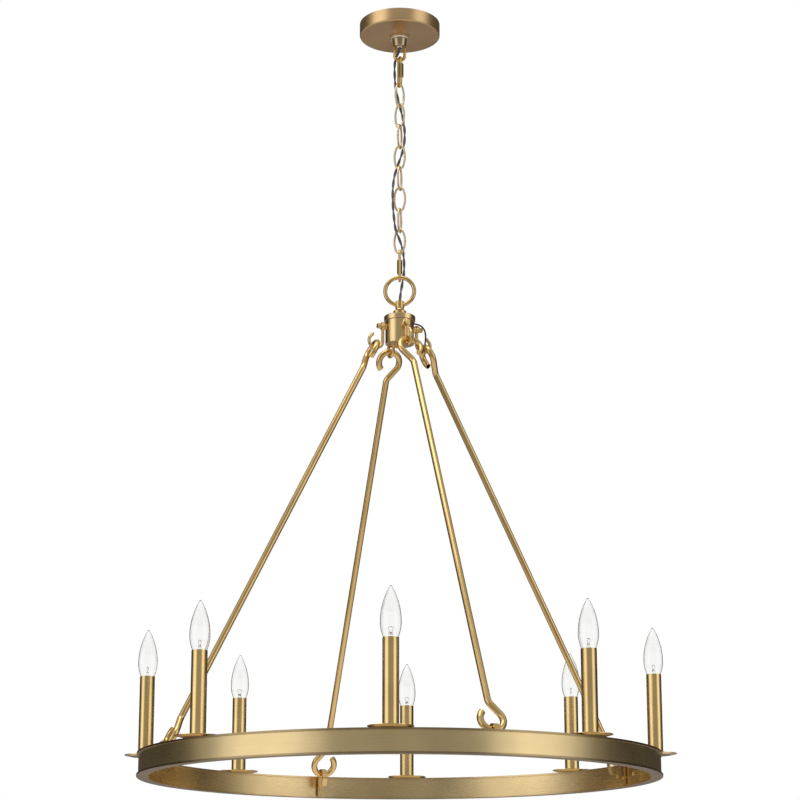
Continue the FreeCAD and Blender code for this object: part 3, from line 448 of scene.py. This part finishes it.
# %% A shop for each finish
class Shop:
    """The node tree of one finish, and the ways to add nodes to it."""

    def __init__(self, tree):
        self.tree = tree
        tree.nodes.clear()

    def node(self, kind, settings=None, inputs=None, output=0, whole=False):
        """Adds one node: its settings first, then each socket's value or link."""
        made = self.tree.nodes.new("ShaderNode" + kind)
        for key, value in (settings or {}).items():
            setattr(made, key, value)
        for key, value in (inputs or {}).items():
            if isinstance(value, Term):
                self.tree.links.new(value.socket, made.inputs[key])
            else:
                made.inputs[key].default_value = value
        return made if whole or not made.outputs else Term(self, made.outputs[output])

    def mix(self, factor, first, second):
        """first where factor is 0, second where it is 1, for colours."""
        first, second = [(*c, 1.0) if isinstance(c, tuple) else c for c in (first, second)]
        return self.node("Mix", {"data_type": "RGBA"}, {0: factor, 6: first, 7: second}, output=2)

    def place(self, scale=(1, 1, 1)):
        """The object's own coordinates, stretched."""
        where = self.node("TexCoord", output="Object")
        return self.node("Mapping", {}, {"Vector": where, "Scale": scale})

    def split(self, vector):
        """The three parts of a vector."""
        parts = self.node("SeparateXYZ", {}, {0: vector}, whole=True)
        return [Term(self, socket) for socket in parts.outputs]

    def ray(self, kind):
        """1 on rays of this kind, 0 on others, or a count of them."""
        return self.node("LightPath", output=kind)

    def noise(self, where, scale, detail=3.0):
        return self.node("TexNoise", {}, {"Vector": where, "Scale": scale, "Detail": detail,
                                          "Roughness": 0.55})

    def bump(self, height, strength, distance):
        return self.node("Bump", {}, {"Height": height, "Strength": strength, "Distance": distance})

    def surface(self, shader):
        self.node("OutputMaterial", {}, {"Surface": shader})


finishes = {}


def finish(name):
    """The empty shop of a new finish, which is kept in finishes under its name."""
    finishes[name] = bpy.data.materials.new(name)
    finishes[name].use_nodes = True
    return Shop(finishes[name].node_tree)


def times(colour, factor):
    """The colour made lighter or darker, up to white."""
    return tuple(min(c * factor, 1.0) for c in colour)


def from_axis(x, y):
    """How far a place is from the vertical axis: the root of x squared plus y squared."""
    return (x * x + y * y) ** 0.5


print("shop ready")

# %% [markdown]
# ## Satin brass
# The metal is steel or brass with a warm, brushed and lacquered finish. Brushing leaves fine lines
# along the way the piece was worked: round the ring, up the sleeves, round the canopy. The lines are
# noise stretched along that way. Slow drifts in tone and a few dull specks keep large faces from
# looking printed.

# %% Brass finishes
LINE_TONE = 0.10            # how far the lines darken the metal
SPECK_TONE = 0.05           # how far the specks do
PAINTED_EDGE_SHADE_WIDTH = 0.0012          # of the painted shade line at a flange's outer edge
CONE_GREY = (0.36, 0.30, 0.23)


def brass(name, colour, rough, grain="none", lines=1.0, rim=None, grey_above=None):
    """Brushed brass. grain is the way its lines run: round, up, or none for a fine even tooth, and
    lines is their depth. Near the radius rim the tone darkens: painted shade that draws a flange's
    outer edge as a dark line. Above a given height it greys."""
    shop = finish(name)
    where = shop.place()
    x, y, z = shop.split(where)
    if grain == "round":
        lay = shop.node("CombineXYZ", {}, {0: y.turn_from(x) * 3.0, 1: from_axis(x, y) * 600.0,
                                           2: z * 600.0})
        fine = shop.noise(lay, 1.0, detail=2.0)
    elif grain == "up":
        fine = shop.noise(shop.place(scale=(700, 700, 14)), 1.0, detail=2.0)
    else:
        fine = shop.noise(where, 260.0, detail=2.0)
    slow = shop.noise(where, 14.0, detail=2.0)
    specks = shop.noise(where, 420.0, detail=1.0).step(0.70, 0.80)
    tone = shop.mix(slow.step(0.3, 0.7), times(colour, 0.904), times(colour, 1.06))
    tone = shop.mix(fine.step(0.25, 0.75) * LINE_TONE * lines + specks * SPECK_TONE, tone,
                    times(colour, 0.55))
    if rim:
        # painted shade: a dark line just inside the rim radius, outlining the flange's edge
        painted_edge_shade = from_axis(x, y).step(rim - PAINTED_EDGE_SHADE_WIDTH, rim - PAINTED_EDGE_SHADE_WIDTH / 3)
        tone = shop.mix(painted_edge_shade * 0.62, tone, times(colour, 0.25))
    if grey_above:
        # above the given height the tone turns grey-brown
        tone = shop.mix(z.step(grey_above - 0.001, grey_above + 0.001) * 0.75, tone, CONE_GREY)
    shop.surface(shop.node("BsdfPrincipled", {}, {
        "Base Color": tone, "Metallic": 1.0,
        "Roughness": rough + (fine - 0.5) * 0.08 * lines + (slow - 0.5) * 0.05 + specks * 0.06,
        "Coat Weight": 0.10, "Coat Roughness": 0.25,
        "Normal": shop.bump(fine, 0.05 * lines, 0.00003)}))


brass("canopy_brass", (0.74, 0.50, 0.25), 0.30, "round")
brass("loop_brass", (0.80, 0.54, 0.19), 0.18, lines=0.3)
brass("bail_brass", (0.80, 0.54, 0.19), 0.20, lines=0.3, grey_above=-0.0378)
brass("collar_brass", (0.92, 0.83, 0.66), 0.34, "round")
brass("chain_brass", (0.84, 0.66, 0.38), 0.18, lines=0.3)
brass("hub_brass", (0.80, 0.60, 0.30), 0.22, "round", lines=0.5)
brass("rod_brass", (0.78, 0.54, 0.22), 0.20, lines=0.3)
brass("ring_brass", (0.82, 0.63, 0.33), 0.27, "round", lines=0.45)
# The flanges take a darker copy of the ring's brass as painted shade, which outlines them against the
# band.
brass("flange_brass", (0.74, 0.56, 0.30), 0.24, "round", lines=0.3,
      rim=float(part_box("ring_top_flange")[1].x))
brass("candle_brass", (0.86, 0.62, 0.27), 0.20, "up", lines=0.4)
print("finishes so far", len(finishes))

# %% [markdown]
# ## Plain finishes
# Zinc or chrome on the hidden steel parts, green paint on the earth screw, moulded phenolic for the
# lamp sockets, soft plastic on the cord, and nickel on the bulbs' screw bases.

# %% Steel, paint and plastic
def plated(name, colour, rough):
    """Plated steel: bright metal, with a thin uneven haze in its gloss."""
    shop = finish(name)
    haze = shop.noise(shop.place(), 240.0)
    shop.surface(shop.node("BsdfPrincipled", {}, {
        "Base Color": shop.mix(haze, times(colour, 0.88), colour), "Metallic": 1.0,
        "Roughness": rough + (haze - 0.5) * 0.12, "Normal": shop.bump(haze, 0.06, 0.0001)}))


def moulded(name, colour, rough, scale, depth):
    """Plastic, paint or rubber: one colour with a slight mottle and a fine moulded tooth."""
    shop = finish(name)
    where = shop.place()
    mottle = shop.noise(where, scale * 0.1)
    tooth = shop.noise(where, scale, detail=2.0)
    shop.surface(shop.node("BsdfPrincipled", {}, {
        "Base Color": shop.mix(mottle, times(colour, 0.80), times(colour, 1.2)),
        "Roughness": rough + (tooth - 0.5) * 0.1, "Normal": shop.bump(tooth, 0.3, depth)}))


plated("strap_steel", (0.62, 0.62, 0.60), 0.35)
plated("chrome", (0.80, 0.80, 0.80), 0.12)
plated("stem_steel", (0.60, 0.58, 0.52), 0.35)
plated("base_nickel", (0.72, 0.66, 0.52), 0.25)
moulded("green_paint", (0.04, 0.30, 0.10), 0.35, 900.0, 0.00004)
moulded("phenolic", (0.030, 0.027, 0.025), 0.40, 700.0, 0.00005)
moulded("cord_cover", (0.105, 0.092, 0.090), 0.42, 1400.0, 0.00006)
moulded("lead_cover", (0.022, 0.018, 0.015), 0.38, 1400.0, 0.00005)
print("finishes so far", len(finishes))

# %% [markdown]
# ## Glass and filament
# The bulbs are thin clear glass, so a real shell of glass is traced, with its own inner wall. What
# shows is its outline, where light passes the wall at a low angle, and the soft reflections on it.
# The works inside are clear glass, nickel wire and dark tungsten.

# %% Glass, wire and tungsten
def glass(name, colour, rough):
    """Clear glass that bends light."""
    shop = finish(name)
    shop.surface(shop.node("BsdfPrincipled", {}, {
        "Base Color": (*colour, 1.0), "Roughness": rough, "IOR": 1.45, "Transmission Weight": 1.0}))


glass("bulb_clear", (0.985, 0.985, 0.98), 0.0)
glass("stem_clear", (0.93, 0.94, 0.93), 0.02)
plated("support_wire", (0.50, 0.46, 0.40), 0.30)
plated("tungsten", (0.30, 0.27, 0.24), 0.45)
print("finishes so far", len(finishes))

# %% [markdown]
# ## Give every piece its finish
# A node keeps its own shape and takes a finish for what it is on the real lamp. The table gives the
# start of a piece's name, and the longest start that fits decides.

# %% Assign finishes
WEARS = {
    "mounting_strap": "strap_steel", "ground_screw": "green_paint", "threaded_nipple": "chrome",
    "strap_nut": "strap_steel", "canopy": "canopy_brass", "screw_collar": "collar_brass",
    "canopy_loop": "bail_brass", "quick_link": "loop_brass", "chain_link": "chain_brass",
    "hub_loop": "rod_brass", "hub_": "hub_brass", "hub_studs": "rod_brass", "hub_hooks": "rod_brass",
    "hub_tie_bolt": "stem_steel", "rod_": "rod_brass", "ring_": "ring_brass",
    "ring_top_flange": "flange_brass", "ring_bottom_flange": "flange_brass",
    "ring_hangers": "rod_brass", "wheel_screws": "rod_brass", "wiring_cover": "ring_brass",
    "candle_pans": "candle_brass", "candle_sleeves": "candle_brass", "candle_stems": "stem_steel",
    "stem_nuts": "stem_steel", "lamp_sockets": "phenolic", "bulb_glass": "bulb_clear",
    "bulb_base": "base_nickel", "supply_cord": "cord_cover", "feed_lead": "lead_cover",
    "cord_stretch": "cord_cover", "weld_bead": "chain_brass", "nipple_end": "chrome",
    "bulb_stem": "stem_clear", "bulb_wires": "support_wire", "filament": "tungsten",
}


def dress(piece):
    """Gives the piece its finish, and says which."""
    start = max((start for start in WEARS if piece.name.startswith(start)), key=len)
    piece.data.materials.clear()
    piece.data.materials.append(finishes[WEARS[start]])
    return WEARS[start]


dressed = [dress(o) for o in bpy.data.objects if o.type == "MESH"]
print("pieces dressed", len(dressed), "with", len(set(dressed)), "finishes")

# %% [markdown]
# ## Studio
# The lamp hangs in a plain white studio. Metal shows what stands round it, so the world is a soft
# room: mid grey from the camera's side, a tall pale panel on each side, and darkness behind. Looked at
# straight, or through glass, it is white. Light that has passed only part of a bulb's walls comes from
# its rim, and is kept dark, which draws the outline of the glass. Soft, even light falls on everything
# that isn't metal.

# %% World
WHITE = (1.0, 1.0, 1.0)
FRONT = 0.33                            # level on the camera's side
LEFT_PANEL = (-58.0, 12.0, 20.0, 0.92)  # middle, half width and soft edge in degrees, and strength
RIGHT_PANEL = (62.0, 9.0, 18.0, 0.86)
BEHIND = (86.0, 108.0)                  # degrees from the front where the dark side comes in
BEHIND_LEVEL = 0.06
ABOVE = (0.35, 0.80)                    # upward part of the direction where the ceiling comes in
ABOVE_LEVEL = 0.55
UNDER = (0.12, 0.40)                    # downward part of the direction where the ground comes in
UNDER_LEVEL = 0.22
EVEN_LIGHT = (0.85, 0.85, 0.85)
GLASS_RIM = (0.10, 0.10, 0.105)
WARM, COOL = (1.0, 0.93, 0.80), (1.0, 0.95, 0.97)

world = bpy.data.worlds.new("studio")
bpy.context.scene.world = world
world.use_nodes = True
room = Shop(world.node_tree)
east, north, height = room.split(room.node("TexCoord", output="Generated"))
angle = east.turn_from(-north) * (180 / math.pi)


def panel(centre, half, soft, strength):
    """A tall pale panel: full over half its width each side of centre, then fading, in degrees."""
    return (angle - centre).size().step(half, half + soft, strength, 0.0)


def between(share, first, second):
    """first where share is 0, second where it is 1, for numbers."""
    return first * (1 - share) + share * second


behind = angle.size().step(*BEHIND)
above = height.step(*ABOVE)
under = (-height).step(*UNDER)
level = between(behind, FRONT + panel(*LEFT_PANEL) + panel(*RIGHT_PANEL), BEHIND_LEVEL)
level = between(under, between(above, level, ABOVE_LEVEL), UNDER_LEVEL)
tint = room.mix(under, room.mix(behind * (1 - under), WHITE, WARM), COOL)
shade = room.node("VectorMath", {"operation": "SCALE"}, {0: tint, "Scale": level})
through = room.ray("Is Transmission Ray")
shade = room.mix(room.ray("Is Diffuse Ray"), shade, EVEN_LIGHT)
shade = room.mix(room.ray("Is Camera Ray").at_least(through), shade, WHITE)
shade = room.mix(through * room.ray("Transmission Depth").step(3.4, 2.6), shade, GLASS_RIM)
room.node("OutputWorld", {}, {
    "Surface": room.node("Background", {}, {"Color": shade, "Strength": 1.0})})
print("world nodes", len(world.node_tree.nodes))

# %% [markdown]
# The floor is far below the lamp. Looked at straight it is nearly white and keeps the lamp's shadow,
# and in the metal it shows a painted pool of light: pale under the lamp, soft grey far away. One wide
# lamp overhead gives the shadow.

# %% Floor
FLOOR_Z = -2.35
FLOOR_HALF = 9
FLOOR_GLOW = 0.72                       # share of plain white in the floor, looked at straight
FLOOR_NEAR = (0.85, 0.82, 0.78)         # its reflection under the lamp
FLOOR_FAR = (0.225, 0.205, 0.218)       # and far away
FLOOR_FADE = (1.2, 4.5)

floor_mesh = bpy.data.meshes.new("floor")
floor_mesh.from_pydata([(x * FLOOR_HALF, y * FLOOR_HALF, FLOOR_Z)
                        for x, y in ((-1, -1), (1, -1), (1, 1), (-1, 1))], [], [(0, 1, 2, 3)])
floor = bpy.data.objects.new("floor", floor_mesh)
bpy.context.scene.collection.objects.link(floor)
shop = finish("floor_paint")
x, y, _ = shop.split(shop.place())
looked_at = shop.ray("Is Camera Ray").at_least(shop.ray("Is Transmission Ray"))
paint = shop.node("BsdfDiffuse", {}, {"Color": (0.82, 0.82, 0.81, 1.0)})
white = shop.node("Emission", {}, {"Color": (*WHITE, 1.0), "Strength": 1.0})
shown = shop.node("MixShader", {}, {0: looked_at * FLOOR_GLOW, 1: paint, 2: white})
# painted pool of light, seen only in the metal: pale under the lamp, grey far away
reflected = shop.node("Emission", {}, {
    "Color": shop.mix(from_axis(x, y).step(*FLOOR_FADE), FLOOR_NEAR, FLOOR_FAR), "Strength": 1.0})
shop.surface(shop.node("MixShader", {}, {0: shop.ray("Is Glossy Ray") * 0.9, 1: shown, 2: reflected}))
floor_mesh.materials.append(finishes["floor_paint"])
print("floor at", FLOOR_Z)

# %% Overhead lamp
overhead = bpy.data.objects.new("overhead", bpy.data.lights.new("overhead", "AREA"))
overhead.data.shape = "DISK"
overhead.data.size = 2.4
overhead.data.energy = 26.0
overhead.location = (-0.5, -1.0, 1.6)
overhead.rotation_euler = (math.radians(-28), math.radians(-14), 0)
overhead.visible_camera = False
bpy.context.scene.collection.objects.link(overhead)
print("overhead lamp", overhead.data.energy, "W")

# %% [markdown]
# ## Finish
# The standard view keeps colours as they are written.

# %% Finish
bpy.context.scene.view_settings.view_transform = "Standard"
